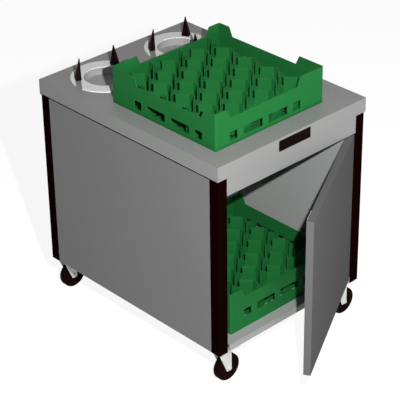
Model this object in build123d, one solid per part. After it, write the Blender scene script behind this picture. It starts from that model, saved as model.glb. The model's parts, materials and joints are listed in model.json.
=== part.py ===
from build123d import *
from math import sqrt
import os

# A mobile cabinet on four swivel casters. A sprung platform lifts dishwashing racks through the
# counter, two sprung wells behind it hold stacks of cups, and a hinged door closes the store below.
# Millimetres. X runs along the front, Y from the door to the back, Z up from the floor.

# Counter
counter_width = 707.0
counter_height = 876.0
front_margin = 81.0
side_margin = 54.0
rear_margin = 28.0
counter_lip = 54.0
counter_sheet = 2.0
opening_hem = 15.0

# Body
body_inset = 3.5
post_size = 41.0
post_wall = 2.0
panel_recess = 1.0
panel_sheet = 1.2
panel_flange = 18.0
liner_sheet = 1.2
liner_flange = 12.0
body_bottom = 136.0
pan_height = 24.0
pan_sheet = 1.5
apron_drop = 123.0
apron_sheet = 1.5
apron_return = 50.0
rail_width = 30.0
rail_wall = 2.5
bulkhead_gap = 3.0
bulkhead_sheet = 1.5

# Door
door_thickness = 25.0
door_skin = 1.2
door_rest_angle = 30.0
free_edge_gap = 5.0
hinge_gap = 6.0
door_top_gap = 4.0
door_low_gap = 17.0
door_pan_gap = 3.0
lip_gap = 1.5
lip_notch = 9.5
strike_sheet = 1.0
magnet_gap = 0.5

# Hinges
leaf_sheet = 2.4
leaf_height = 72.0
leaf_depth = 20.0
knuckle_radius = 4.4
knuckle_proud = 3.6
knuckle_gap = 0.3
knuckle_room = 0.4
pin_radius = 2.5
turning_clearance = 0.05
fixing_clearance = 0.02
hinge_setback = 90.0

# Racks
rack_size = 508.0
rack_wall_sheet = 3.2
rack_round = 6.0
rack_low = 129.5
rack_tall = 164.0
rack_base = 12.0
short_corner = 52.0
long_corner = 112.0
corner_slope = 16.0
slot_low = 45.5
slot_tall = 30.5
slot_start = 64.0
small_slot = 36.0
long_slot = 90.0
slot_space = 27.0
grid_pitch = 36.0
grid_bar = 5.0
lattice_x = 69.0
lattice_y = 55.0
lattice_columns = 3
lattice_rows = 4
plate_run = 31.0
plate_sheet = 3.0
collar_sheet = 2.5
plate_top = 130.0
collar_top = 97.0
lattice_shift_x = -6.0
lattice_shift_y = 9.5
rack_x = -24.5
store_margin = 46.0

# Rack lift
rack_sunk = 33.0
rack_clearance = 6.0
platform_sheet = 3.0
platform_rim = 20.0
platform_window = 190.0
platform_bar = 45.0
platform_gap = 11.0
arm_width = 24.0
arm_height = 26.0
arm_length = 380.0
gusset_drop = 130.0
gusset_reach = 190.0
carriage_sheet = 4.0
carriage_width = 300.0
carriage_height = 300.0
carriage_gap = 3.0
rod_radius = 8.0
rod_spread = 120.0
rod_offset = 18.0
bush_size = 26.0
bush_height = 40.0
bush_setback = 30.0
rack_travel = 250.0
spring_spread = 55.0
lift_spring_radius = 9.0
lift_spring_wire = 2.2
lift_spring_turns = 20
anchor_height = 10.0

# Cup wells
ring_radius = 125.0
well_gap = 2.0
ring_bore = 78.0
ring_thickness = 4.0
tube_sheet = 1.5
closed_spring = 155.0
tube_flange = 18.0
carrier_drop = 27.0
carrier_sheet = 3.0
carrier_skirt = 40.0
carrier_side_gap = 2.0
tube_bore_gap = 1.0
cup_travel = 250.0
guide_angles = (30.0, 150.0, 270.0)
guide_inner = 88.0
guide_outer = 110.0
guide_width = 29.0
guide_height = 78.0
guide_tip = 3.0
notch_width = 20.0
notch_turn = 234.0
cup_spring_radius = 52.0
cup_spring_wire = 3.5
cup_spring_turns = 11

# Casters
wheel_radius = 51.0
wheel_width = 27.0
wheel_hub = 14.0
wheel_round = 4.0
dish_radius = 34.0
dish_depth = 3.0
caster_inset_x = 59.0
caster_inset_y = 36.5
caster_trail = 8.0
caster_plate_x = 92.0
caster_plate_y = 62.0
caster_plate_sheet = 4.0
race_radius = 22.0
race_height = 7.0
race_gap = 0.3
fork_sheet = 2.5
fork_gap = 1.5
fork_ahead = 9.0
fork_behind = 46.0
fork_foot = 12.5
fork_below = 10.0
king_pin_radius = 6.0
axle_radius = 4.0
axle_head = 7.0
axle_head_height = 4.0
bolt_radius = 4.0
bolt_head = 6.5
bolt_head_height = 4.0
bolt_spacing_x = 74.0
bolt_spacing_y = 44.0

# Small parts
name_plate_width = 150.0
name_plate_height = 40.0
name_plate_sheet = 1.0
name_plate_left = 280.0
name_plate_top = 9.0
top_plate_sheet = 2.5
magnet_size = 30.0
screw_radius = 3.5
screw_proud = 1.5
screw_pitch = 160.0

tube_radius = ring_bore + tube_bore_gap
opening_reach = rack_size / 2 + rack_clearance
rack_to_carriage = opening_reach + counter_sheet + carriage_gap
carriage_to_rod = carriage_sheet + rod_offset
rod_to_bulkhead = bush_size / 2 + bulkhead_gap
bulkhead_to_well = liner_flange + well_gap + tube_flange + tube_radius
rack_to_well = rack_to_carriage + carriage_to_rod + rod_to_bulkhead + bulkhead_to_well
counter_length = front_margin + opening_reach + rack_to_well + ring_radius + rear_margin
half_width = counter_width / 2
half_length = counter_length / 2
counter_under = counter_height - counter_sheet
body_x = half_width - body_inset
body_y = half_length - body_inset
post_inner_x = body_x - post_size
post_inner_y = body_y - post_size
pan_top = body_bottom + pan_height
apron_bottom = counter_height - apron_drop
hinge_x = post_inner_x - hinge_gap / 2
hinge_y = -body_y - knuckle_proud
door_left = -post_inner_x + free_edge_gap
door_right = post_inner_x - hinge_gap
door_top = apron_bottom - door_top_gap
door_bottom = body_bottom + door_low_gap
hinge_axis = Axis((hinge_x, hinge_y, 0), (0, 0, 1))
hinge_heights = (body_bottom + hinge_setback, door_top - hinge_setback - leaf_height)
liner_x = post_inner_x
rack_floor = counter_height - rack_sunk
platform_under = rack_floor - platform_sheet
arm_top = platform_under - platform_rim
rack_y = -half_length + front_margin + opening_reach
stored_rack_y = -half_length + store_margin + rack_size / 2
carriage_y = rack_y + rack_to_carriage
carriage_top = arm_top
rod_y = carriage_y + carriage_to_rod
bulkhead_y = rod_y + rod_to_bulkhead
well_x = half_width - side_margin - ring_radius
well_y = bulkhead_y + bulkhead_to_well
carrier_top = counter_height - carrier_drop
tube_low = carrier_top - cup_travel - closed_spring


def block(x0, x1, y0, y1, z0, z1):
    return Pos((x0 + x1) / 2, (y0 + y1) / 2, (z0 + z1) / 2) * Box(x1 - x0, y1 - y0, z1 - z0)


def rod(x, y, z0, z1, radius):
    return Pos(x, y, (z0 + z1) / 2) * Cylinder(radius, z1 - z0)


def rod_along_y(x, y0, y1, z, radius):
    return Pos(x, (y0 + y1) / 2, z) * Rot(90, 0, 0) * Cylinder(radius, y1 - y0)


def plan_prism(points, z0, z1):
    face = make_face(Polyline(*points, close=True))
    return Pos(0, 0, z0) * extrude(face, z1 - z0, dir=(0, 0, 1))


def side_prism(points, y0, y1):
    """A shape drawn in X and Z, as thick as y0 to y1."""
    face = make_face(Polyline(*[(x, y0, z) for x, z in points], close=True))
    return extrude(face, y1 - y0, dir=(0, 1, 0))


def end_prism(points, x0, x1):
    """A shape drawn in Y and Z, as thick as x0 to x1."""
    face = make_face(Polyline(*[(x0, y, z) for y, z in points], close=True))
    return extrude(face, x1 - x0, dir=(1, 0, 0))


def helix_spring(x, y, z0, z1, radius, wire, turns):
    """A spring in one unbroken wire between two heights, with half a wire to spare at each end."""
    rise = z1 - z0 - wire
    path = Pos(x, y, z0 + wire / 2) * Helix(rise / turns, rise, radius)
    start = Plane(origin=path @ 0, z_dir=path % 0)
    print("spring gap between turns", round(rise / turns - wire, 2))
    return sweep(start * Circle(wire / 2), path=path)


def counter_top():
    shell = block(-half_width, half_width, -half_length, half_length,
                  counter_height - counter_lip, counter_height)
    shell -= block(-half_width + counter_sheet, half_width - counter_sheet,
                   -half_length + counter_sheet, half_length - counter_sheet,
                   counter_height - counter_lip, counter_under)
    reach = opening_reach
    hem = reach + counter_sheet
    shell += block(rack_x - hem, rack_x + hem, rack_y - hem, rack_y + hem,
                   counter_under - opening_hem, counter_under)
    shell -= block(rack_x - reach, rack_x + reach, rack_y - reach, rack_y + reach,
                   counter_under - opening_hem, counter_height)
    for side in (-1, 1):
        shell -= rod(side * well_x, well_y, counter_under, counter_height, tube_radius)
    return shell


def post(side_x, side_y):
    x = side_x * (body_x - post_size / 2)
    y = side_y * (body_y - post_size / 2)
    height = counter_under - body_bottom
    middle = (body_bottom + counter_under) / 2
    outer = Box(post_size, post_size, height)
    outer = fillet(outer.edges().filter_by(Axis.Z), post_wall)
    inner = Box(post_size - 2 * post_wall, post_size - 2 * post_wall, height)
    return Pos(x, y, middle) * (outer - inner)


def tray(width, height, depth, sheet):
    """A sheet in X and Z whose four edges turn towards +Y. Its flat face is at y = 0."""
    outer = block(-width / 2, width / 2, 0, depth, 0, height)
    return outer - block(-width / 2 + sheet, width / 2 - sheet, sheet, depth, sheet, height - sheet)


def side_panel(side):
    width = 2 * post_inner_y
    panel = tray(width, counter_under - body_bottom, panel_flange, panel_sheet)
    return Pos(side * (body_x - panel_recess), 0, body_bottom) * Rot(0, 0, side * 90) * panel


def rear_panel():
    panel = tray(2 * post_inner_x, counter_under - body_bottom, panel_flange, panel_sheet)
    return Pos(0, body_y - panel_recess, body_bottom) * Rot(0, 0, 180) * panel


def side_liner(side):
    liner = tray(2 * post_inner_y, counter_under - pan_top, liner_flange, liner_sheet)
    return Pos(side * liner_x, 0, pan_top) * Rot(0, 0, -side * 90) * liner


def bulkhead():
    wall = tray(2 * liner_x, counter_under - pan_top, liner_flange, bulkhead_sheet)
    return Pos(0, bulkhead_y, pan_top) * wall


def front_apron():
    front = -body_y
    sheet = block(-post_inner_x, post_inner_x, front, front + apron_sheet, apron_bottom, counter_under)
    turned = block(-post_inner_x, post_inner_x, front, front + apron_return,
                   apron_bottom, apron_bottom + apron_sheet)
    hem = block(-post_inner_x, post_inner_x, front + apron_return - apron_sheet, front + apron_return,
                apron_bottom, apron_bottom + opening_hem)
    return sheet + turned + hem


def pan_front():
    return -body_y + door_skin + lip_gap


def floor_pan():
    """A tray turned down on all sides, stepped round the posts and notched for the door's folded edge."""
    back = body_y - panel_recess - panel_flange
    wide = liner_x + liner_flange
    pan = (block(-wide, wide, -post_inner_y, post_inner_y, body_bottom, pan_top)
           + block(-post_inner_x, post_inner_x, pan_front(), back, body_bottom, pan_top))
    under = pan_top - pan_sheet
    pan -= block(-wide + pan_sheet, wide - pan_sheet, -post_inner_y + pan_sheet, post_inner_y - pan_sheet,
                 body_bottom, under)
    pan -= block(-post_inner_x + pan_sheet, post_inner_x - pan_sheet, pan_front() + pan_sheet,
                 back - pan_sheet, body_bottom, under)
    notch_back = -body_y + door_thickness + lip_gap
    return pan - block(-post_inner_x, -post_inner_x + lip_notch, -body_y, notch_back, body_bottom, pan_top)


def base_frame():
    """A welded ladder of channels under the floor pan, between the posts."""
    top = pan_top - pan_sheet
    reach_x = post_inner_x
    front = -body_y + door_thickness + 2 * lip_gap + door_skin
    back = post_inner_y
    frame = None
    for side in (-1, 1):
        x = side * (reach_x - lip_notch - rail_width / 2)
        beam = block(x - rail_width / 2, x + rail_width / 2, front, back, body_bottom, top)
        beam -= block(x - rail_width / 2 + rail_wall, x + rail_width / 2 - rail_wall, front, back,
                      body_bottom + rail_wall, top - rail_wall)
        frame = beam if frame is None else frame + beam
    inner = reach_x - lip_notch - rail_width
    for y in (front + rail_width / 2, 0, back - rail_width / 2):
        cross = block(-inner, inner, y - rail_width / 2, y + rail_width / 2, body_bottom, top)
        cross -= block(-inner, inner, y - rail_width / 2 + rail_wall, y + rail_width / 2 - rail_wall,
                       body_bottom + rail_wall, top - rail_wall)
        frame += cross
    return frame


def post_top_plates():
    """A plate in the head of each post that carries the counter."""
    inside = post_size - 2 * post_wall
    x = body_x - post_size / 2
    y = body_y - post_size / 2
    return [Pos(side_x * x, side_y * y, counter_under - top_plate_sheet / 2) * Box(
        inside, inside, top_plate_sheet) for side_x in (-1, 1) for side_y in (-1, 1)]


def panel_screws():
    """Round-headed screws along the edges of the rear panel, the one that comes off."""
    solids = []
    count = int((counter_under - body_bottom) // screw_pitch)
    first = (counter_under - counter_lip + body_bottom - (count - 1) * screw_pitch) / 2
    inset = 3 * screw_radius
    rear = body_y - panel_recess
    for step in range(count):
        z = first + step * screw_pitch
        for side in (-1, 1):
            x = side * (post_inner_x - inset)
            solids.append(rod_along_y(x, rear, rear + screw_proud, z, screw_radius))
    return solids


def name_plate():
    left = -half_width + name_plate_left
    top = counter_height - name_plate_top
    sheet = block(left, left + name_plate_width, -half_length - name_plate_sheet, -half_length,
                  top - name_plate_height, top)
    return fillet(sheet.edges().filter_by(Axis.Y), name_plate_sheet)


def door_outer_skin():
    """The face of the door with its edges folded in. The fold beside the hinge ends above the pan."""
    front = -body_y
    outer = block(door_left, door_right, front, front + door_thickness, door_bottom, door_top)
    inner = block(door_left + door_skin, door_right - door_skin, front + door_skin,
                  front + door_thickness, door_bottom, door_top - door_skin)
    swing_room = block(door_right - door_skin, door_right, front + door_skin, front + door_thickness,
                       door_bottom, pan_top + door_pan_gap)
    return (outer - inner - swing_room).rotate(hinge_axis, door_rest_angle)


def door_inner_pan():
    """The inside of the door, a closed tray that ends above the floor pan."""
    front = -body_y + door_skin
    back = -body_y + door_thickness
    bottom = pan_top + door_pan_gap
    outer = block(door_left + door_skin, door_right - door_skin, front, back,
                  bottom, door_top - door_skin)
    inner = block(door_left + 2 * door_skin, door_right - 2 * door_skin, front, back - door_skin,
                  bottom + door_skin, door_top - 2 * door_skin)
    rib_x = (door_left + door_right) / 2
    rib = block(rib_x - rail_width / 2, rib_x + rail_width / 2, front, back - door_skin,
                bottom + door_skin, door_top - 2 * door_skin)
    rib -= block(rib_x - rail_width / 2 + door_skin, rib_x + rail_width / 2 - door_skin,
                 front + door_skin, back - door_skin, bottom + door_skin, door_top - 2 * door_skin)
    return (outer - inner + rib).rotate(hinge_axis, door_rest_angle)


def hinge_leaf(face_x, side, knuckles, bore):
    """One leaf of each hinge. Its plate lies on face_x and its knuckles go round the pin."""
    solids = []
    part_height = leaf_height / 3
    start = hinge_y + knuckle_radius + knuckle_room
    for z in hinge_heights:
        near = face_x - side * leaf_sheet
        ends = sorted((near, face_x))
        plate = block(ends[0], ends[1], start, -body_y + leaf_depth, z, z + leaf_height)
        for index in knuckles:
            low = z + index * part_height + knuckle_gap / 2
            high = z + (index + 1) * part_height - knuckle_gap / 2
            tab = block(ends[0], ends[1], hinge_y, start, low, high)
            plate += tab + rod(hinge_x, hinge_y, low, high, knuckle_radius)
        plate -= rod(hinge_x, hinge_y, z, z + leaf_height, bore)
        solids.append(plate)
    return solids


def hinge_frame_leaves():
    return hinge_leaf(post_inner_x, 1, (0, 2), pin_radius + fixing_clearance)


def hinge_door_leaves():
    leaves = hinge_leaf(door_right, -1, (1,), pin_radius + turning_clearance)
    return [leaf.rotate(hinge_axis, door_rest_angle) for leaf in leaves]


def hinge_pins():
    solids = []
    for z in hinge_heights:
        pin = rod(hinge_x, hinge_y, z, z + leaf_height, pin_radius)
        cap = rod(hinge_x, hinge_y, z + leaf_height, z + leaf_height + leaf_sheet, knuckle_radius)
        solids.append(pin + cap)
    return solids


def door_magnet():
    back = -body_y + apron_return
    front = -body_y + door_thickness + strike_sheet + magnet_gap
    x = door_left + post_size
    top = apron_bottom
    return block(x - magnet_size, x + magnet_size, front, back, top - magnet_size, top)


def door_strike():
    x = door_left + post_size
    back = -body_y + door_thickness
    plate = block(x - magnet_size, x + magnet_size, back, back + strike_sheet,
                  apron_bottom - magnet_size, door_top)
    return plate.rotate(hinge_axis, door_rest_angle)


def rack_wall_outline():
    """One wall seen from outside, along X and up Z, from its short tall end to its long one."""
    return [(0, 0), (rack_size, 0), (rack_size, rack_tall), (rack_size - long_corner, rack_tall),
            (rack_size - long_corner - corner_slope, rack_low), (short_corner + corner_slope, rack_low),
            (short_corner, rack_tall), (0, rack_tall)]


def rack_wall():
    """One wall of a rack with its row of slots."""
    wall = side_prism(rack_wall_outline(), 0, rack_wall_sheet)
    along = slot_start
    for length in (small_slot, long_slot, long_slot, small_slot):
        wall -= block(along, along + length, 0, rack_wall_sheet, slot_low, slot_low + slot_tall)
        along += length + slot_space
    return wall


def rack_walls():
    """Two like corners are tall for a short way and the other two for a long way."""
    corner = rack_size / 2
    front = Pos(-corner, -corner, 0) * rack_wall()
    left = mirror(front, Plane(origin=(0, 0, 0), z_dir=(1, -1, 0)))
    half = front + left
    walls = half + Rot(0, 0, 180) * half
    upright = [edge for edge in walls.edges().filter_by(Axis.Z)
               if abs(abs(edge.center().X) - corner) < 1 and abs(abs(edge.center().Y) - corner) < 1]
    return fillet(upright, rack_round)


def rack_floor_grid():
    inside = rack_size - 2 * rack_wall_sheet
    count = int((inside - grid_bar) // grid_pitch)
    window = grid_pitch - grid_bar
    sketch = Rectangle(inside, inside) - GridLocations(grid_pitch, grid_pitch, count, count) * Rectangle(
        window, window)
    return extrude(sketch, rack_base)


def lattice_point(column, row):
    return (column * lattice_x + lattice_shift_x, row * lattice_y + lattice_shift_y)


def collar_places():
    columns = range(-lattice_columns, lattice_columns + 1)
    rows = range(-lattice_rows, lattice_rows + 1)
    return [(column, row) for column in columns for row in rows if (column + row) % 2]


def collar():
    """A low closed cell whose corners are cut to take the ends of the plates. Its left wall is as
    tall as they are."""
    wide = lattice_x - plate_run
    deep = lattice_y - plate_run
    cut = plate_sheet / sqrt(2)
    x = wide / 2
    y = deep / 2
    outline = [(x - cut, -y), (x, -y + cut), (x, y - cut), (x - cut, y),
               (-x + cut, y), (-x, y - cut), (-x, -y + cut), (-x + cut, -y)]
    outer = plan_prism(outline, rack_base, collar_top)
    inner = block(-x + collar_sheet, x - collar_sheet, -y + collar_sheet, y - collar_sheet,
                  rack_base, collar_top - collar_sheet)
    tall_wall = plan_prism(outline, rack_base, plate_top) & block(
        -x, -x + collar_sheet, -y, y, rack_base, plate_top)
    return outer - inner + tall_wall


def rack_dividers():
    """Tall plates stand cornerwise between the collars and leave an eight-sided cell for each cup."""
    places = collar_places()
    one_collar = collar()
    length = plate_run * sqrt(2) + plate_sheet
    solids = []
    for column, row in places:
        x, y = lattice_point(column, row)
        solids.append(Pos(x, y, 0) * one_collar)
        for turn in (-1, 1):
            if (column + 1, row + turn) in places:
                middle = Pos(x + lattice_x / 2, y + turn * lattice_y / 2, (rack_base + plate_top) / 2)
                plate = Box(length, plate_sheet, plate_top - rack_base)
                solids.append(middle * Rot(0, 0, 45 * turn) * plate)
    return solids


def rack_pieces(prefix, x, y, z):
    """The three mouldings of a rack, standing with its underside at z."""
    place = Pos(x, y, z)
    return {
        prefix + "_walls": place * rack_walls(),
        prefix + "_floor": place * rack_floor_grid(),
        prefix + "_dividers": [place * solid for solid in rack_dividers()],
    }


def rack_platform():
    """A tray with turned-down edges, pierced so that it drains."""
    half = opening_reach - platform_gap
    tray_outer = block(-half, half, -half, half, arm_top, rack_floor)
    tray_inner = block(-half + platform_sheet, half - platform_sheet, -half + platform_sheet,
                       half - platform_sheet, arm_top, platform_under)
    window = platform_window
    middle = (platform_window + platform_bar) / 2
    holes = [Pos(x, y, rack_floor) * Box(window, window, 4 * platform_sheet)
             for x in (-middle, middle) for y in (-middle, middle)]
    return Pos(rack_x, rack_y, 0) * (tray_outer - tray_inner - holes)


def rack_carriage():
    """The upright plate behind the rack, its bushes round the rods and the arms under the platform."""
    low = carriage_top - carriage_height
    plate = block(rack_x - carriage_width / 2, rack_x + carriage_width / 2,
                  carriage_y, carriage_y + carriage_sheet, low, carriage_top)
    for side in (-1, 1):
        x = rack_x + side * rod_spread
        arm = block(x - arm_width / 2, x + arm_width / 2, carriage_y - arm_length, carriage_y,
                    arm_top - arm_height, arm_top)
        gusset = end_prism([(carriage_y, arm_top - arm_height),
                            (carriage_y - gusset_reach, arm_top - arm_height),
                            (carriage_y, arm_top - arm_height - gusset_drop)],
                           x - carriage_sheet / 2, x + carriage_sheet / 2)
        plate += arm + gusset
        for z in (low, carriage_top - bush_height - bush_setback):
            bush = block(x - bush_size / 2, x + bush_size / 2, carriage_y + carriage_sheet,
                         rod_y + bush_size / 2, z, z + bush_height)
            plate += bush
            plate -= rod(x, rod_y, z, z + bush_height, rod_radius + turning_clearance)
    hook_bar = block(rack_x - spring_spread - arm_width / 2, rack_x + spring_spread + arm_width / 2,
                     carriage_y + carriage_sheet, rod_y + bush_size / 2, low, low + anchor_height)
    return plate + hook_bar


def rod_low():
    return carriage_top - carriage_height - rack_travel - bush_height


def rack_guide_rods():
    return [rod(rack_x + side * rod_spread, rod_y, rod_low(), counter_under - opening_hem, rod_radius)
            for side in (-1, 1)]


def rack_rod_blocks():
    """Blocks on the bulkhead that hold the ends of the rods."""
    solids = []
    for side in (-1, 1):
        x = rack_x + side * rod_spread
        for z in (rod_low(), counter_under - opening_hem - anchor_height):
            seat = block(x - bush_size / 2, x + bush_size / 2, rod_y - bush_size / 2, bulkhead_y,
                         z, z + anchor_height)
            solids.append(seat - rod(x, rod_y, z, z + anchor_height, rod_radius + fixing_clearance))
    return solids


def rack_spring_anchor():
    top = counter_under - opening_hem
    reach = spring_spread + arm_width / 2
    return block(rack_x - reach, rack_x + reach, carriage_y + carriage_sheet + carriage_gap, bulkhead_y,
                 top - anchor_height, top)


def rack_springs():
    low = carriage_top - carriage_height + anchor_height
    high = counter_under - opening_hem - anchor_height
    return [helix_spring(rack_x + side * spring_spread, rod_y, low, high,
                         lift_spring_radius, lift_spring_wire, lift_spring_turns) for side in (-1, 1)]


def cup_ring(side):
    """The flat ring on the counter, with its notch beside one guide."""
    ring = rod(0, 0, counter_height, counter_height + ring_thickness, ring_radius)
    ring -= rod(0, 0, counter_height, counter_height + ring_thickness, ring_bore)
    middle_radius = (guide_inner + guide_outer) / 2
    notch = block(0, ring_radius, -notch_width / 2, notch_width / 2,
                  counter_height, counter_height + ring_thickness)
    ring -= Rot(0, 0, guide_angles[1]) * Pos(middle_radius, 0, 0) * Rot(0, 0, notch_turn - guide_angles[1]) * notch
    return Pos(side * well_x, well_y, 0) * ring


def cup_tube(side):
    """The well that hangs under the counter by its flange, closed by a floor with a drain."""
    top = counter_under
    low = tube_low
    tube = rod(0, 0, low, top, tube_radius + tube_sheet)
    tube += rod(0, 0, top - tube_sheet, top, tube_radius + tube_flange)
    tube -= rod(0, 0, low + tube_sheet, top, tube_radius)
    tube -= rod(0, 0, low, low + tube_sheet, rod_radius)
    return Pos(side * well_x, well_y, 0) * tube


def cup_guides(side):
    """Three pointed guides that stand on the ring and steer the stack of cups."""
    solids = []
    base = counter_height + ring_thickness
    depth = guide_outer - guide_inner
    foot = Pos(depth / 2, 0, 0) * Rectangle(depth, guide_width)
    tip = Pos(guide_tip, 0, guide_height) * Rectangle(guide_tip, guide_tip)
    for angle in guide_angles:
        guide = loft([foot, tip])
        place = Pos(side * well_x, well_y, base) * Rot(0, 0, angle) * Pos(guide_inner, 0, 0)
        solids.append(place * guide)
    return solids


def cup_carrier(side):
    """The plate that the cups stand on, with a skirt that keeps it level in its tube."""
    radius = tube_radius - carrier_side_gap
    outer = rod(0, 0, carrier_top - carrier_skirt, carrier_top, radius)
    inner = rod(0, 0, carrier_top - carrier_skirt, carrier_top - carrier_sheet, radius - carrier_sheet)
    return Pos(side * well_x, well_y, 0) * (outer - inner)


def cup_spring(side):
    low = tube_low + tube_sheet
    high = carrier_top - carrier_sheet
    return helix_spring(side * well_x, well_y, low, high, cup_spring_radius, cup_spring_wire,
                        cup_spring_turns)


def caster_centres():
    x = half_width - caster_inset_x
    y = half_length - caster_inset_y
    return {"front_left": (-x, -y), "front_right": (x, -y), "rear_left": (-x, y), "rear_right": (x, y)}


def caster_plates():
    """Mounting plates, each with the ball race and king pin that its fork turns on."""
    solids = []
    low = body_bottom - caster_plate_sheet
    for x, y in caster_centres().values():
        plate = Pos(x, y, body_bottom - caster_plate_sheet / 2) * Box(
            caster_plate_x, caster_plate_y, caster_plate_sheet)
        plate += rod(x, y, low - race_height, low, race_radius)
        plate += rod(x, y, fork_crown() - fork_sheet - axle_head_height, low, king_pin_radius)
        plate -= [rod(x + dx, y + dy, low, body_bottom, bolt_radius + fixing_clearance)
                  for dx, dy in bolt_offsets()]
        solids.append(plate)
    return solids


def bolt_offsets():
    return [(sx * bolt_spacing_x / 2, sy * bolt_spacing_y / 2) for sx in (-1, 1) for sy in (-1, 1)]


def caster_bolts():
    solids = []
    low = body_bottom - caster_plate_sheet
    for x, y in caster_centres().values():
        for dx, dy in bolt_offsets():
            shank = rod(x + dx, y + dy, low, body_bottom, bolt_radius)
            head = Pos(x + dx, y + dy, low - bolt_head_height) * extrude(
                RegularPolygon(bolt_head, 6), bolt_head_height)
            solids.append(shank + head)
    return solids


def fork_crown():
    return body_bottom - caster_plate_sheet - race_height - race_gap


def caster_fork(x, y):
    """The crown under the race and the two legs that hold the axle."""
    wheel_x = x + caster_trail
    crown = fork_crown()
    under = crown - fork_sheet
    reach = wheel_width / 2 + fork_gap + fork_sheet
    fork = block(wheel_x - fork_behind, wheel_x + fork_ahead, y - reach, y + reach, under, crown)
    for side in (-1, 1):
        near = y + side * (reach - fork_sheet)
        ends = sorted((near, y + side * reach))
        leg = side_prism([(wheel_x - fork_behind, crown), (wheel_x + fork_ahead, crown),
                          (wheel_x + fork_ahead, wheel_radius - fork_below),
                          (wheel_x - fork_foot, wheel_radius - fork_below),
                          (wheel_x - fork_behind, under - fork_sheet)], ends[0], ends[1])
        fork += leg
    fork -= rod(x, y, under, crown, king_pin_radius + turning_clearance)
    fork -= rod_along_y(wheel_x, y - reach, y + reach, wheel_radius, axle_radius + fixing_clearance)
    return fork


def caster_wheel(x, y):
    """A solid tread on a hub, dished on both faces."""
    wheel_x = x + caster_trail
    half = wheel_width / 2
    tread = rod_along_y(wheel_x, y - half, y + half, wheel_radius, wheel_radius)
    tread = fillet(tread.edges().filter_by(GeomType.CIRCLE), wheel_round)
    for side in (-1, 1):
        ends = sorted((y + side * (half - dish_depth), y + side * half))
        dish = rod_along_y(wheel_x, ends[0], ends[1], wheel_radius, dish_radius)
        dish -= rod_along_y(wheel_x, ends[0], ends[1], wheel_radius, wheel_hub)
        tread -= dish
    return tread - rod_along_y(wheel_x, y - half, y + half, wheel_radius, axle_radius + turning_clearance)


def caster_axle(x, y):
    """The axle bolt with its head and nut outside the legs."""
    wheel_x = x + caster_trail
    reach = wheel_width / 2 + fork_gap + fork_sheet
    shaft = rod_along_y(wheel_x, y - reach, y + reach, wheel_radius, axle_radius)
    for side in (-1, 1):
        ends = sorted((y + side * reach, y + side * (reach + axle_head_height)))
        shaft += rod_along_y(wheel_x, ends[0], ends[1], wheel_radius, axle_head)
    return shaft


def all_pieces():
    pieces = {
        "counter_top": counter_top(),
        "post_front_left": post(-1, -1),
        "post_front_right": post(1, -1),
        "post_rear_left": post(-1, 1),
        "post_rear_right": post(1, 1),
        "panel_left": side_panel(-1),
        "panel_right": side_panel(1),
        "panel_rear": rear_panel(),
        "liner_left": side_liner(-1),
        "liner_right": side_liner(1),
        "bulkhead": bulkhead(),
        "front_apron": front_apron(),
        "floor_pan": floor_pan(),
        "base_frame": base_frame(),
        "post_top_plates": post_top_plates(),
        "panel_screws": panel_screws(),
        "name_plate": name_plate(),
        "door_outer_skin": door_outer_skin(),
        "door_inner_pan": door_inner_pan(),
        "hinge_frame_leaves": hinge_frame_leaves(),
        "hinge_door_leaves": hinge_door_leaves(),
        "hinge_pins": hinge_pins(),
        "door_magnet": door_magnet(),
        "door_strike": door_strike(),
        "rack_platform": rack_platform(),
        "rack_carriage": rack_carriage(),
        "rack_guide_rods": rack_guide_rods(),
        "rack_rod_blocks": rack_rod_blocks(),
        "rack_spring_anchor": rack_spring_anchor(),
        "rack_springs": rack_springs(),
        "caster_plates": caster_plates(),
        "caster_bolts": caster_bolts(),
    }
    pieces.update(rack_pieces("upper_rack", rack_x, rack_y, rack_floor))
    pieces.update(rack_pieces("lower_rack", 0, stored_rack_y, pan_top))
    for name, side in (("left", -1), ("right", 1)):
        pieces["cup_ring_" + name] = cup_ring(side)
        pieces["cup_tube_" + name] = cup_tube(side)
        pieces["cup_guides_" + name] = cup_guides(side)
        pieces["cup_carrier_" + name] = cup_carrier(side)
        pieces["cup_spring_" + name] = cup_spring(side)
    for name, (x, y) in caster_centres().items():
        pieces["caster_fork_" + name] = caster_fork(x, y)
        pieces["caster_wheel_" + name] = caster_wheel(x, y)
        pieces["caster_axle_" + name] = caster_axle(x, y)
    return pieces


def solids_of(shape):
    """Every solid in a shape or in a list of shapes."""
    shapes = shape if isinstance(shape, list) else [shape]
    return [solid for item in shapes for solid in item.solids()]


def centre_shift(pieces):
    """How far the part moves along Y so that the origin lies under the middle of its box."""
    boxes = [solid.bounding_box() for shape in pieces.values() for solid in solids_of(shape)]
    return -(min(box.min.Y for box in boxes) + max(box.max.Y for box in boxes)) / 2


pieces = all_pieces()
shift_y = centre_shift(pieces)
print("origin lies", round(-shift_y, 3), "mm from the cabinet's middle, towards the door when negative")
os.makedirs("parts", exist_ok=True)
for name, shape in pieces.items():
    moved = [Pos(0, shift_y, 0) * solid for solid in solids_of(shape)]
    export_step(moved[0] if len(moved) == 1 else Compound(children=moved), "parts/" + name + ".step")
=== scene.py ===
import json
import math
import bmesh
import bpy
from mathutils import Matrix, Vector


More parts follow.
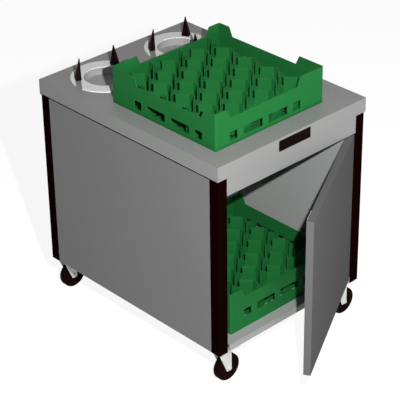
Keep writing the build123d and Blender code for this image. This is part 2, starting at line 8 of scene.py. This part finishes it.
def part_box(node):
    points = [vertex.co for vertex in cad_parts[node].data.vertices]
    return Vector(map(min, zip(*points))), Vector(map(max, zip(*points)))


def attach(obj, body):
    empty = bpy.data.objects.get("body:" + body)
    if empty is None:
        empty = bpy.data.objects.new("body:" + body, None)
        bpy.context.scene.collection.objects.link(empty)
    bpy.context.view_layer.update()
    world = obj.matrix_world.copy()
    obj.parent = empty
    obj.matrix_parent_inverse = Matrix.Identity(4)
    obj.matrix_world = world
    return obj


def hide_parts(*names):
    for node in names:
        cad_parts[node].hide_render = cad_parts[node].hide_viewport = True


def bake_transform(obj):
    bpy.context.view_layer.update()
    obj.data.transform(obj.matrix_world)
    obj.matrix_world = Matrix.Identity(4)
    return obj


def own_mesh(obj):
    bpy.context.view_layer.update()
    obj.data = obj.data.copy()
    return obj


# The dressed cart: finishes for every solid, the small parts that the solids leave out, and the studio.
# Metres, in the solids' own frame.
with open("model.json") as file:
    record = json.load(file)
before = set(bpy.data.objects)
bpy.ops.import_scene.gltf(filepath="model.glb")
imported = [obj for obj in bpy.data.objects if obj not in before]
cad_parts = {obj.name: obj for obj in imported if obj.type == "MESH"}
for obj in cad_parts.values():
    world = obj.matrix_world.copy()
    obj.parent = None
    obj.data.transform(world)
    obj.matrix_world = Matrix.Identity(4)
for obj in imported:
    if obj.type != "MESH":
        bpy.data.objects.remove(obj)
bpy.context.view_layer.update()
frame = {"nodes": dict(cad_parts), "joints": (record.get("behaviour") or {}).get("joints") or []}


# Shader maths
class Val:
    """A socket that can be used in a sum."""

    def __init__(self, graph, socket):
        self.graph = graph
        self.socket = socket

    def _math(self, kind, a, b):
        return self.graph.node("ShaderNodeMath", {"operation": kind}, {0: a, 1: b})[0]

    def __add__(self, other):
        return self._math("ADD", self, other)

    __radd__ = __add__

    def __mul__(self, other):
        return self._math("MULTIPLY", self, other)

    __rmul__ = __mul__

    def __gt__(self, other):
        return self._math("GREATER_THAN", self, other)


class Graph:
    """A node tree that is filled one node at a time."""

    def __init__(self, tree):
        self.tree = tree

    def node(self, kind, settings=None, inputs=None):
        """Any node: its settings first, then its values and links. Returns its outputs."""
        made = self.tree.nodes.new(kind)
        for key, value in (settings or {}).items():
            setattr(made, key, value)
        for key, value in (inputs or {}).items():
            self.plug(made.inputs[key], value)
        return [Val(self, s) for s in made.outputs]

    def plug(self, socket, value):
        if isinstance(value, Val):
            self.tree.links.new(value.socket, socket)
        else:
            socket.default_value = value

    def blend(self, factor, a, b):
        """A colour between two colours."""
        return self.node("ShaderNodeMix", {"data_type": "RGBA"}, {0: factor, 6: a, 7: b})[2]

    def seen_or_mirrored(self):
        """1 for what the camera sees, directly or in a glossy surface, and 0 for light on the object."""
        path = self.node("ShaderNodeLightPath")
        camera_ray, glossy_ray = path[0], path[3]
        return self.node("ShaderNodeMath", {"operation": "MAXIMUM"}, {0: camera_ray, 1: glossy_ray})[0]


class Finish(Graph):
    """One procedural material on a Principled shader."""

    def __init__(self, name):
        self.material = bpy.data.materials.new(name)
        self.material.use_nodes = True
        super().__init__(self.material.node_tree)
        self.tree.nodes.clear()
        out = self.tree.nodes.new("ShaderNodeOutputMaterial")
        self.shader = self.tree.nodes.new("ShaderNodeBsdfPrincipled")
        self.tree.links.new(self.shader.outputs[0], out.inputs["Surface"])

    def surface(self, shine=0.5, **values):
        self.plug(self.shader.inputs["Specular IOR Level"], shine)
        for key, value in values.items():
            self.plug(self.shader.inputs[key.replace("_", " ")], value)
        return self.material

    def place(self, scale=(1, 1, 1)):
        """Object coordinates, stretched."""
        spot = self.node("ShaderNodeTexCoord")[3]
        return self.node("ShaderNodeMapping", None, {"Vector": spot, "Scale": scale})[0]

    def cloud(self, scale, where=None, detail=2.0, rough=0.5):
        values = {"Vector": where or self.place(), "Scale": scale, "Detail": detail, "Roughness": rough}
        return self.node("ShaderNodeTexNoise", None, values)[0]

    def bump(self, height, strength, distance):
        values = {"Height": height, "Strength": strength, "Distance": distance}
        return self.node("ShaderNodeBump", None, values)[0]


def tone(r, g, b, k=1.0):
    return (r * k, g * k, b * k, 1.0)


# Finishes
def sheet_steel(name, base, grain, rough=0.45, metal=0.06, shine=0.2):
    """Satin stainless sheet. grain is the scale along X, Y and Z, small along the brushing."""
    m = Finish(name)
    strokes = m.cloud(1.0, m.place(grain), 3.0, 0.6)
    wear = m.cloud(3.1, None, 3.0)
    light = m.blend(strokes, tone(*base, 0.94), tone(*base, 1.06))
    soiled = m.blend(wear, light, tone(*base, 0.97))
    return m.surface(shine, Base_Color=soiled, Metallic=metal,
                     Roughness=rough + strokes * 0.08 + wear * 0.05, Normal=m.bump(strokes, 0.06, 0.0004))


def plated_steel(name, base, rough, metal):
    """Zinc plate, spring wire or ground bar, with a faint haze."""
    m = Finish(name)
    haze = m.cloud(60.0, None, 2.0)
    return m.surface(Base_Color=m.blend(haze, tone(*base, 0.95), tone(*base, 1.03)), Metallic=metal,
                     Roughness=rough + haze * 0.1)


def painted_steel(name, base, rough, shine, dusty):
    """Satin powder coat with its faint orange peel, paler by the factor dusty where dust lies."""
    m = Finish(name)
    peel = m.cloud(900.0, None, 1.0)
    dust = m.cloud(5.0, None, 3.0)
    return m.surface(shine, Base_Color=m.blend(dust, tone(*base), tone(*base, dusty)),
                     Roughness=rough + dust * 0.06, Normal=m.bump(peel, 0.05, 0.0003))


def moulded_plastic(name, base, shine=0.2):
    """Injection-moulded plastic: an even tone, a little paler where it rubs."""
    m = Finish(name)
    mottle = m.cloud(14.0, None, 3.0)
    scuff = m.cloud(1.0, m.place((40, 40, 400)), 3.0) > 0.66
    body = m.blend(mottle, tone(*base, 0.95), tone(*base, 1.05))
    return m.surface(shine, Base_Color=m.blend(scuff * 0.08, body, tone(*base, 1.5)),
                     Roughness=0.5 + mottle * 0.1, Normal=m.bump(m.cloud(1400.0, None, 1.0), 0.04, 0.0002))


def solid_rubber(name, base):
    """Matt black rubber with dust in its pores."""
    m = Finish(name)
    dust = m.cloud(35.0, None, 4.0)
    return m.surface(0.02, Base_Color=m.blend(dust * 0.12, tone(*base), (0.02, 0.014, 0.013, 1.0)),
                     Roughness=0.62 + dust * 0.2, Normal=m.bump(m.cloud(700.0, None, 2.0), 0.08, 0.0003))


WHITE = (1.0, 1.0, 1.0, 1.0)
BLACK = (0.0, 0.0, 0.0, 1.0)
COUNTER_GREY = (0.285, 0.285, 0.283)
# Side and rear panels: the counter's steel, darkened as painted shade of the sides
PANEL_GREY_PAINTED_SHADE = (0.205, 0.205, 0.207)
# Door sheet: the same steel, darkened as painted shade on its turned face
DOOR_GREY_PAINTED_SHADE = (0.137, 0.137, 0.137)
# Inner liners and bulkhead: the same steel, lightened as painted light inside the cabinet
LINER_GREY_PAINTED_LIGHT = (0.43, 0.445, 0.434)
PAN_GREY = (0.385, 0.392, 0.385)
MILL_GREY = (0.26, 0.26, 0.26)
# Cup carriers: lightened as painted light down in the wells
CARRIER_GREY_PAINTED_LIGHT = (0.365, 0.365, 0.365)
# Cup tubes: lightened as painted light on the wells' inner walls
TUBE_GREY_PAINTED_LIGHT = (0.42, 0.42, 0.42)
# Rack platform: steel darkened as painted shade under the upper rack
PLATFORM_GREY_PAINTED_SHADE = (0.078, 0.078, 0.078)
POST_BLACK = (0.0052, 0.0008, 0.0008)
BRUSHED_ALONG_X = (6, 900, 900)
BRUSHED_ALONG_Y = (900, 6, 900)
BRUSHED_UPRIGHT = (900, 900, 6)
ROLLED = (60, 60, 60)

steel_counter = sheet_steel("stainless_counter", COUNTER_GREY, BRUSHED_ALONG_Y)
steel_apron = sheet_steel("stainless_apron", COUNTER_GREY, BRUSHED_ALONG_X)
steel_panel_painted_shade = sheet_steel("stainless_panel_painted_shade", PANEL_GREY_PAINTED_SHADE, BRUSHED_UPRIGHT)
steel_liner_painted_light = sheet_steel("stainless_liner_painted_light", LINER_GREY_PAINTED_LIGHT, BRUSHED_UPRIGHT)
steel_door_painted_shade = sheet_steel("stainless_door_painted_shade", DOOR_GREY_PAINTED_SHADE, BRUSHED_UPRIGHT, rough=0.5, metal=0.0, shine=0.0)
steel_pan = sheet_steel("stainless_pan", PAN_GREY, BRUSHED_ALONG_X)
steel_mill = sheet_steel("stainless_mill", MILL_GREY, ROLLED, rough=0.5)
steel_carrier_painted_light = sheet_steel("stainless_carrier_painted_light", CARRIER_GREY_PAINTED_LIGHT, ROLLED)
steel_tube_painted_light = sheet_steel("stainless_tube_painted_light", TUBE_GREY_PAINTED_LIGHT, ROLLED)
steel_platform_painted_shade = sheet_steel("stainless_platform_painted_shade", PLATFORM_GREY_PAINTED_SHADE, ROLLED, rough=0.5)
zinc_plate = plated_steel("zinc_plate", (0.645, 0.637, 0.62), rough=0.35, metal=0.2)
spring_wire = plated_steel("spring_wire", (0.34, 0.34, 0.35), rough=0.28, metal=0.8)
ground_bar = plated_steel("ground_bar", (0.5, 0.5, 0.5), rough=0.16, metal=0.9)
post_black = painted_steel("post_powder_coat", POST_BLACK, rough=0.55, shine=0.0, dusty=1.3)
hinge_black = painted_steel("hinge_black_oxide", POST_BLACK, rough=0.55, shine=0.0, dusty=1.3)
ring_white = painted_steel("ring_enamel", (0.9, 0.9, 0.897), rough=0.45, shine=0.1, dusty=1.04)
guide_black = moulded_plastic("guide_nylon", (0.0075, 0.0015, 0.0018), shine=0.04)
rack_green = moulded_plastic("rack_polypropylene", (0.0135, 0.15, 0.0342), shine=0.08)
plate_black = moulded_plastic("name_plate_blank", (0.006, 0.002, 0.0022), shine=0.02)
magnet_case = moulded_plastic("magnet_case", (0.02, 0.02, 0.02))
tread_rubber = solid_rubber("tread_rubber", (0.006, 0.001, 0.0012))
# Black rubber used for the strip of painted shadow under the counter's lip
lip_shadow_black = solid_rubber("lip_shadow_black", (0.006, 0.004, 0.004))

finish_by_name = {
    "counter_top": steel_counter, "front_apron": steel_apron, "floor_pan": steel_pan,
    "panel_left": steel_panel_painted_shade, "panel_right": steel_panel_painted_shade, "panel_rear": steel_panel_painted_shade,
    "liner_left": steel_liner_painted_light, "liner_right": steel_liner_painted_light, "bulkhead": steel_liner_painted_light,
    "base_frame": steel_mill, "post_top_plates": steel_mill, "name_plate": plate_black,
    "door_outer_skin": steel_door_painted_shade, "door_inner_pan": steel_door_painted_shade, "door_magnet": magnet_case,
    "door_strike": zinc_plate, "panel_screws": zinc_plate, "hinge_pins": hinge_black,
    "hinge_frame_leaves": hinge_black, "hinge_door_leaves": hinge_black,
    "rack_platform": steel_platform_painted_shade, "rack_carriage": steel_mill, "rack_rod_blocks": steel_mill,
    "rack_spring_anchor": steel_mill, "rack_guide_rods": ground_bar, "rack_springs": spring_wire,
}
finish_by_start = {
    "post_": post_black, "upper_rack_": rack_green, "lower_rack_": rack_green, "cup_ring": ring_white,
    "cup_guides": guide_black, "cup_spring": spring_wire, "cup_carrier": steel_carrier_painted_light,
    "cup_tube": steel_tube_painted_light, "caster_wheel": tread_rubber, "caster_": zinc_plate,
}


def finish_for(name):
    if name in finish_by_name:
        return finish_by_name[name]
    return next(finish for start, finish in finish_by_start.items() if name.startswith(start))


for name, part in frame["nodes"].items():
    part.data.materials.clear()
    part.data.materials.append(finish_for(name))


# Helpers for the small parts
def islands(name):
    """The corner-to-corner box of each loose piece in a node."""
    part = frame["nodes"][name]
    shape = bmesh.new()
    shape.from_mesh(part.data)
    bmesh.ops.remove_doubles(shape, verts=shape.verts, dist=1e-6)
    boxes, waiting = [], set(shape.verts)
    while waiting:
        group, front = [], [waiting.pop()]
        while front:
            point = front.pop()
            group.append(part.matrix_world @ point.co)
            near = {edge.other_vert(point) for edge in point.link_edges} & waiting
            waiting -= near
            front += near
        boxes.append((Vector(map(min, zip(*group))), Vector(map(max, zip(*group)))))
    shape.free()
    return sorted(boxes, key=lambda box: tuple(round(v, 4) for v in box[0]))


def node_box(name):
    low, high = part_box(name)
    return Vector(low), Vector(high)


def new_piece(name, mesh, finish=None):
    piece = bpy.data.objects.new(name, mesh)
    bpy.context.scene.collection.objects.link(piece)
    if finish:
        mesh.materials.append(finish)
    return piece


def outward(mesh):
    """Turns the faces of a closed mesh outwards."""
    shape = bmesh.new()
    shape.from_mesh(mesh)
    bmesh.ops.recalc_face_normals(shape, faces=shape.faces)
    shape.to_mesh(mesh)
    shape.free()


def loops_joined(count, pairs):
    """The faces between loops of count points, for each pair of loops."""
    faces = []
    for here, there in pairs:
        for k in range(count):
            n = (k + 1) % count
            faces.append((here * count + k, here * count + n, there * count + n, there * count + k))
    return faces


# Shapes that repeat
REPEAT_INPUTS = (("Points", "Geometry"), ("Radius", "Float"), ("Height", "Float"), ("Turn", "Vector"),
                 ("Finish", "Material"))
CROSS_LONG = 1.1
CROSS_SHORT = 0.26


def repeat_tree(name, build):
    """A node tree that sets one shape on each point. build makes the shape from the named inputs."""
    tree = bpy.data.node_groups.new(name, "GeometryNodeTree")
    for label, kind in REPEAT_INPUTS:
        tree.interface.new_socket(label, in_out="INPUT", socket_type="NodeSocket" + kind)
    tree.interface.new_socket("Mesh", in_out="OUTPUT", socket_type="NodeSocketGeometry")
    graph = Graph(tree)
    points, radius, height, turn, finish = graph.node("NodeGroupInput")[:len(REPEAT_INPUTS)]
    shape = build(graph, radius, height)
    values = {"Points": points, "Instance": shape, "Rotation": turn}
    placed = graph.node("GeometryNodeInstanceOnPoints", None, values)[0]
    real = graph.node("GeometryNodeRealizeInstances", None, {0: placed})[0]
    dressed = graph.node("GeometryNodeSetMaterial", None, {"Geometry": real, "Material": finish})[0]
    graph.node("NodeGroupOutput", None, {0: dressed})
    return tree


def sized(graph, shape, radius, height):
    """A shape of unit radius at its real radius and height."""
    size = graph.node("ShaderNodeCombineXYZ", None, {0: radius, 1: radius, 2: height})[0]
    return graph.node("GeometryNodeTransform", None, {"Geometry": shape, "Scale": size})[0]


def cross_head(graph, radius, height):
    """A domed screw head with its cross recess."""
    ball = graph.node("GeometryNodeMeshUVSphere", None, {"Segments": 28, "Rings": 14, "Radius": 1.0})[0]
    head = sized(graph, ball, radius, height)
    lift = graph.node("ShaderNodeCombineXYZ", None, {2: height})[0]
    for along, across in ((CROSS_LONG, CROSS_SHORT), (CROSS_SHORT, CROSS_LONG)):
        span = graph.node("ShaderNodeCombineXYZ", None, {0: radius * along, 1: radius * across, 2: height})[0]
        bar = graph.node("GeometryNodeMeshCube", None, {"Size": span})[0]
        cut = graph.node("GeometryNodeTransform", None, {"Geometry": bar, "Translation": lift})[0]
        solids = {"Mesh 1": head, "Mesh 2": cut}
        head = graph.node("GeometryNodeMeshBoolean", {"operation": "DIFFERENCE"}, solids)[0]
    return head


def bearing_ball(graph, radius, height):
    ball = graph.node("GeometryNodeMeshIcoSphere", None, {"Radius": 1.0, "Subdivisions": 3})[0]
    return sized(graph, ball, radius, height)


def repeated(name, tree, points, radius, height, turn, finish):
    """One mesh with the tree's shape on every point."""
    seed = bpy.data.meshes.new(name + "_points")
    seed.from_pydata([tuple(point) for point in points], [], [])
    source = new_piece(name + "_points", seed)
    modifier = source.modifiers.new(name, "NODES")
    modifier.node_group = tree
    values = {"Radius": radius, "Height": height, "Turn": turn, "Finish": finish}
    for socket in tree.interface.items_tree:
        if socket.in_out == "INPUT" and socket.name in values:
            modifier[socket.identifier] = values[socket.name]
    source.update_tag()
    ready = source.evaluated_get(bpy.context.evaluated_depsgraph_get())
    mesh = bpy.data.meshes.new_from_object(ready)
    source.modifiers.clear()
    bpy.data.objects.remove(source)
    mesh.name = name
    return new_piece(name, mesh)


screw_tree = repeat_tree("cross_head_screws", cross_head)
ball_tree = repeat_tree("bearing_balls", bearing_ball)


# Screw heads of the rear panel
HEAD_SHARE = 0.96
FACING_BACK = (-math.pi / 2, 0.0, 0.0)


def panel_screw_heads():
    """Domed heads, a little lower than the plain ones that they replace."""
    boxes = islands("panel_screws")
    size = boxes[0][1] - boxes[0][0]
    points = [((low.x + high.x) / 2, low.y, (low.z + high.z) / 2) for low, high in boxes]
    return repeated("panel_screw_heads", screw_tree, points, size.x / 2, size.y * HEAD_SHARE, FACING_BACK,
                    zinc_plate)


heads = panel_screw_heads()
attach(heads, "cabinet")
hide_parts("panel_screws")


# Screws of the hinge leaves, three on each
LEAF_SHEET = 0.0024
LEAF_SCREW_RADIUS = 0.0028
LEAF_SCREW_HEIGHT = 0.0004
LEAF_SCREW_INSET = 0.0075
LEAF_SCREW_SHARES = (0.14, 0.5, 0.86)
DOOR_ANGLE = math.radians(30.0)
FACING_LEFT = (0.0, -math.pi / 2, 0.0)
FACING_OUT_OF_DOOR = (0.0, math.pi / 2, DOOR_ANGLE)


def leaf_screw_places():
    """Points on the frame's leaves, and the same points mirrored in the pin and turned with the door."""
    pin_low, pin_high = islands("hinge_pins")[0]
    pin = (pin_low + pin_high) / 2
    on_frame, on_door = [], []
    for low, high in islands("hinge_frame_leaves"):
        for share in LEAF_SCREW_SHARES:
            point = Vector((high.x - LEAF_SHEET, high.y - LEAF_SCREW_INSET, low.z + (high.z - low.z) * share))
            on_frame.append(point)
            reach = Vector((pin.x - point.x, point.y - pin.y, 0))
            reach.rotate(Matrix.Rotation(DOOR_ANGLE, 3, "Z"))
            on_door.append((pin.x + reach.x, pin.y + reach.y, point.z))
    return on_frame, on_door


frame_places, door_places = leaf_screw_places()
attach(repeated("hinge_frame_screws", screw_tree, frame_places, LEAF_SCREW_RADIUS, LEAF_SCREW_HEIGHT,
                 FACING_LEFT, hinge_black), "cabinet")
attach(repeated("hinge_door_screws", screw_tree, door_places, LEAF_SCREW_RADIUS, LEAF_SCREW_HEIGHT,
                 FACING_OUT_OF_DOOR, hinge_black), "door")


# Balls of the four swivel races, a row of beads under each mounting plate
BALL_RADIUS = 0.0024
BALLS_IN_RACE = 18
RACE_RADIUS = 0.0214
RACE_BELOW_PLATE_TOP = 0.0075


def race_balls():
    points = []
    for low, high in islands("caster_plates"):
        middle = (low + high) / 2
        for step in range(BALLS_IN_RACE):
            angle = 2 * math.pi * step / BALLS_IN_RACE
            points.append((middle.x + RACE_RADIUS * math.cos(angle),
                           middle.y + RACE_RADIUS * math.sin(angle), high.z - RACE_BELOW_PLATE_TOP))
    return repeated("race_balls", ball_tree, points, BALL_RADIUS, BALL_RADIUS, (0.0, 0.0, 0.0), ground_bar)


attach(race_balls(), "cabinet")


# A bearing washer on each face of every wheel's hub
WASHER_BORE = 0.0048
WASHER_RADIUS = 0.0115
WASHER_SHEET = 0.0011
WASHER_ROUND = 0.0004
WASHER_STEPS = 48


def wheel_washers(corner):
    """Two rings turned about the wheel's axis, with their outer edge eased."""
    low, high = node_box("caster_wheel_" + corner)
    middle = (low + high) / 2
    half = (high.y - low.y) / 2
    section = [(WASHER_BORE, 0.0), (WASHER_RADIUS - WASHER_ROUND, 0.0), (WASHER_RADIUS, WASHER_ROUND),
               (WASHER_RADIUS - WASHER_ROUND, WASHER_SHEET), (WASHER_BORE + WASHER_ROUND, WASHER_SHEET)]
    points, pairs = [], []
    for side in (-1, 1):
        first = len(points) // len(section)
        for step in range(WASHER_STEPS):
            angle = 2 * math.pi * step / WASHER_STEPS
            for radius, proud in section:
                points.append((middle.x + radius * math.cos(angle), middle.y + side * (half + proud),
                               middle.z + radius * math.sin(angle)))
            pairs.append((first + step, first + (step + 1) % WASHER_STEPS))
    mesh = bpy.data.meshes.new("wheel_washers_" + corner)
    mesh.from_pydata(points, [], loops_joined(len(section), pairs))
    outward(mesh)
    return new_piece("wheel_washers_" + corner, mesh, zinc_plate)


for corner_name in ("front_left", "front_right", "rear_left", "rear_right"):
    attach(wheel_washers(corner_name), "wheel_" + corner_name)


# A black strip under the counter's lip, round the sides and the back: painted shadow of the lip on the panels
# below
SHADOW_STRIP_TALL = 0.0048
SHADOW_STRIP_DEEP = 0.0028
SHADOW_STRIP_SET_BACK = 0.0005
SHADOW_STRIP_FRONT_GAP = 0.006


def painted_lip_shadow():
    """The painted lip shadow as one black strip in three mitred legs."""
    low, high = node_box("counter_top")
    side_x = high.x - SHADOW_STRIP_SET_BACK
    back_y = high.y - SHADOW_STRIP_SET_BACK
    front_y = low.y + SHADOW_STRIP_FRONT_GAP
    section = [(0.0, 0.0), (SHADOW_STRIP_DEEP, 0.0), (SHADOW_STRIP_DEEP, -SHADOW_STRIP_TALL), (SHADOW_STRIP_DEEP * 0.25, -SHADOW_STRIP_TALL),
               (0.0, -SHADOW_STRIP_TALL * 0.75)]
    mitres = ((-side_x, front_y, 1, 0), (-side_x, back_y, 1, -1), (side_x, back_y, -1, -1),
              (side_x, front_y, -1, 0))
    points = [(x + inward_x * depth, y + inward_y * depth, low.z + drop)
              for x, y, inward_x, inward_y in mitres for depth, drop in section]
    count = len(section)
    faces = loops_joined(count, ((0, 1), (1, 2), (2, 3)))
    faces += [tuple(range(count)), tuple(range(3 * count, 4 * count))]
    mesh = bpy.data.meshes.new("painted_lip_shadow")
    mesh.from_pydata(points, [], faces)
    outward(mesh)
    return new_piece("painted_lip_shadow", mesh, lip_shadow_black)


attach(painted_lip_shadow(), "cabinet")


# Springs, each drawn as a round wire on a helix
CUP_SPRING_WIRE = 0.0035
CUP_SPRING_TURNS = 11
LIFT_SPRING_WIRE = 0.0022
LIFT_SPRING_TURNS = 20
SECTIONS_A_TURN = 32
WIRE_SIDES = 10


def wire_springs(name, node, wire, turns):
    """Each spring of a node as one round wire on a helix that fills the spring's box."""
    points, faces = [], []
    steps = turns * SECTIONS_A_TURN
    for low, high in islands(node):
        first = len(points) // WIRE_SIDES
        middle = (low + high) / 2
        radius = (high.x - low.x - wire) / 2
        rise = high.z - low.z - wire
        for step in range(steps + 1):
            angle = 2 * math.pi * step / SECTIONS_A_TURN
            out = Vector((math.cos(angle), math.sin(angle), 0))
            along = Vector((-out.y * radius, out.x * radius, rise / turns / (2 * math.pi))).normalized()
            centre = Vector((middle.x, middle.y, low.z + wire / 2 + rise * step / steps))
            for side in range(WIRE_SIDES):
                round_wire = Matrix.Rotation(2 * math.pi * side / WIRE_SIDES, 3, along) @ out
                points.append(centre + out * radius + round_wire * (wire / 2))
        faces += loops_joined(WIRE_SIDES, [(first + step, first + step + 1) for step in range(steps)])
        for end in (first, first + steps):
            faces.append(tuple(range(end * WIRE_SIDES, (end + 1) * WIRE_SIDES)))
    mesh = bpy.data.meshes.new(name)
    mesh.from_pydata(points, [], faces)
    outward(mesh)
    piece = new_piece(name, mesh, spring_wire)
    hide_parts(node)
    return piece


for well in ("left", "right"):
    node = "cup_spring_" + well
    slide = "cup_carrier_" + well + "_slide"
    spring = wire_springs("cup_spring_wire_" + well, node, CUP_SPRING_WIRE, CUP_SPRING_TURNS)
    low, high = node_box(node)
    travel = next(max(joint["range_m"]) for joint in frame["joints"] if joint["name"] == slide)
    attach(spring, "cabinet")
    1 - travel / (high.z - low.z)
    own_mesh(spring)

lift_springs = wire_springs("rack_spring_wires", "rack_springs", LIFT_SPRING_WIRE, LIFT_SPRING_TURNS)
low, high = node_box("rack_springs")
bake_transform(lift_springs)


# The counter's front left top corner, which the lamps' and the camera's places are taken from
counter_low, counter_high = node_box("counter_top")
corner = Vector((counter_low.x, counter_low.y, counter_high.z))


# Floor, white where it is lit and grey in the object's shadow
FLOOR_REACH = 40
FLOOR_GREY = 0.24
FLOOR_GLOW = 0.9


def floor_finish():
    m = Finish("studio_floor")
    glow = m.blend(m.seen_or_mirrored(), BLACK, WHITE)
    return m.surface(0.0, Base_Color=tone(FLOOR_GREY, FLOOR_GREY, FLOOR_GREY), Roughness=0.9,
                     Emission_Color=glow, Emission_Strength=FLOOR_GLOW)


def studio_floor():
    mesh = bpy.data.meshes.new("studio_floor")
    corners = [(x * FLOOR_REACH, y * FLOOR_REACH, 0) for x, y in ((-1, -1), (1, -1), (1, 1), (-1, 1))]
    mesh.from_pydata(corners, [], [(0, 1, 2, 3)])
    return new_piece("studio_floor", mesh, floor_finish())


studio_floor()


# Lamps
def lamp(name, place, target, width, watts):
    """A round soft box at place that points at target, both measured from the counter's corner."""
    data = bpy.data.lights.new(name, "AREA")
    data.shape = "DISK"
    data.size = width
    data.energy = watts
    made = bpy.data.objects.new(name, data)
    made.location = corner + Vector(place)
    made.rotation_mode = "QUATERNION"
    made.rotation_quaternion = (corner + Vector(target) - made.location).to_track_quat("-Z", "Y")
    bpy.context.scene.collection.objects.link(made)


lamp("key", place=(-1.63, -2.155, 1.78), target=(0.35, 0.3, -0.3), width=0.05, watts=150.0)
lamp("fill", place=(0.95, -2.7, 0.1), target=(0.35, 0.3, -0.3), width=1.0, watts=18.0)
lamp("side", place=(-1.2, -2.65, -0.25), target=(0.35, 0.3, -0.35), width=0.9, watts=26.0)
lamp("overhead", place=(0.3, -0.7, 1.2), target=(0.35, 0.1, 0.0), width=0.6, watts=1.0)


# World: white to the camera and in reflections, dim as a light
WORLD_LIGHT = 0.09


def studio_world():
    world = bpy.data.worlds.new("studio")
    bpy.context.scene.world = world
    world.use_nodes = True
    world.node_tree.nodes.clear()
    graph = Graph(world.node_tree)
    white = {"Color": WHITE}
    light = graph.node("ShaderNodeBackground", None, {**white, "Strength": WORLD_LIGHT})[0]
    backdrop = graph.node("ShaderNodeBackground", None, {**white, "Strength": 1.0})[0]
    shown = graph.node("ShaderNodeMixShader", None, {0: graph.seen_or_mirrored(), 1: light, 2: backdrop})[0]
    graph.node("ShaderNodeOutputWorld", None, {"Surface": shown})


studio_world()


# Camera, solved from the photo's straight edges
CAMERA_PLACE = (-3.1742, -3.3228, 2.5661)
CAMERA_AZIMUTH = math.radians(-42.97)
CAMERA_ELEVATION = math.radians(30.27)
CAMERA_ROLL = math.radians(-0.91)
FOCAL_PIXELS = 1655.79
PHOTO_PIXELS = 400
SENSOR = 36


def studio_camera():
    level = math.cos(CAMERA_ELEVATION)
    back = Vector((math.sin(CAMERA_AZIMUTH) * level, -math.cos(CAMERA_AZIMUTH) * level,
                   math.sin(CAMERA_ELEVATION)))
    right = Vector((0, 0, 1)).cross(back).normalized()
    up = back.cross(right)
    rolled_right = math.cos(CAMERA_ROLL) * right + math.sin(CAMERA_ROLL) * up
    rolled_up = math.cos(CAMERA_ROLL) * up - math.sin(CAMERA_ROLL) * right
    axes = Matrix((rolled_right, rolled_up, back)).transposed().to_4x4()
    lens = bpy.data.cameras.new("camera")
    lens.lens = FOCAL_PIXELS / PHOTO_PIXELS * SENSOR
    lens.sensor_width = SENSOR
    lens.clip_start, lens.clip_end = 0.05, 200
    camera = bpy.data.objects.new("camera", lens)
    camera.matrix_world = Matrix.Translation(corner + Vector(CAMERA_PLACE)) @ axes
    bpy.context.scene.collection.objects.link(camera)
    return camera


bpy.context.scene.camera = studio_camera()
bpy.context.scene.view_settings.view_transform = "Standard"
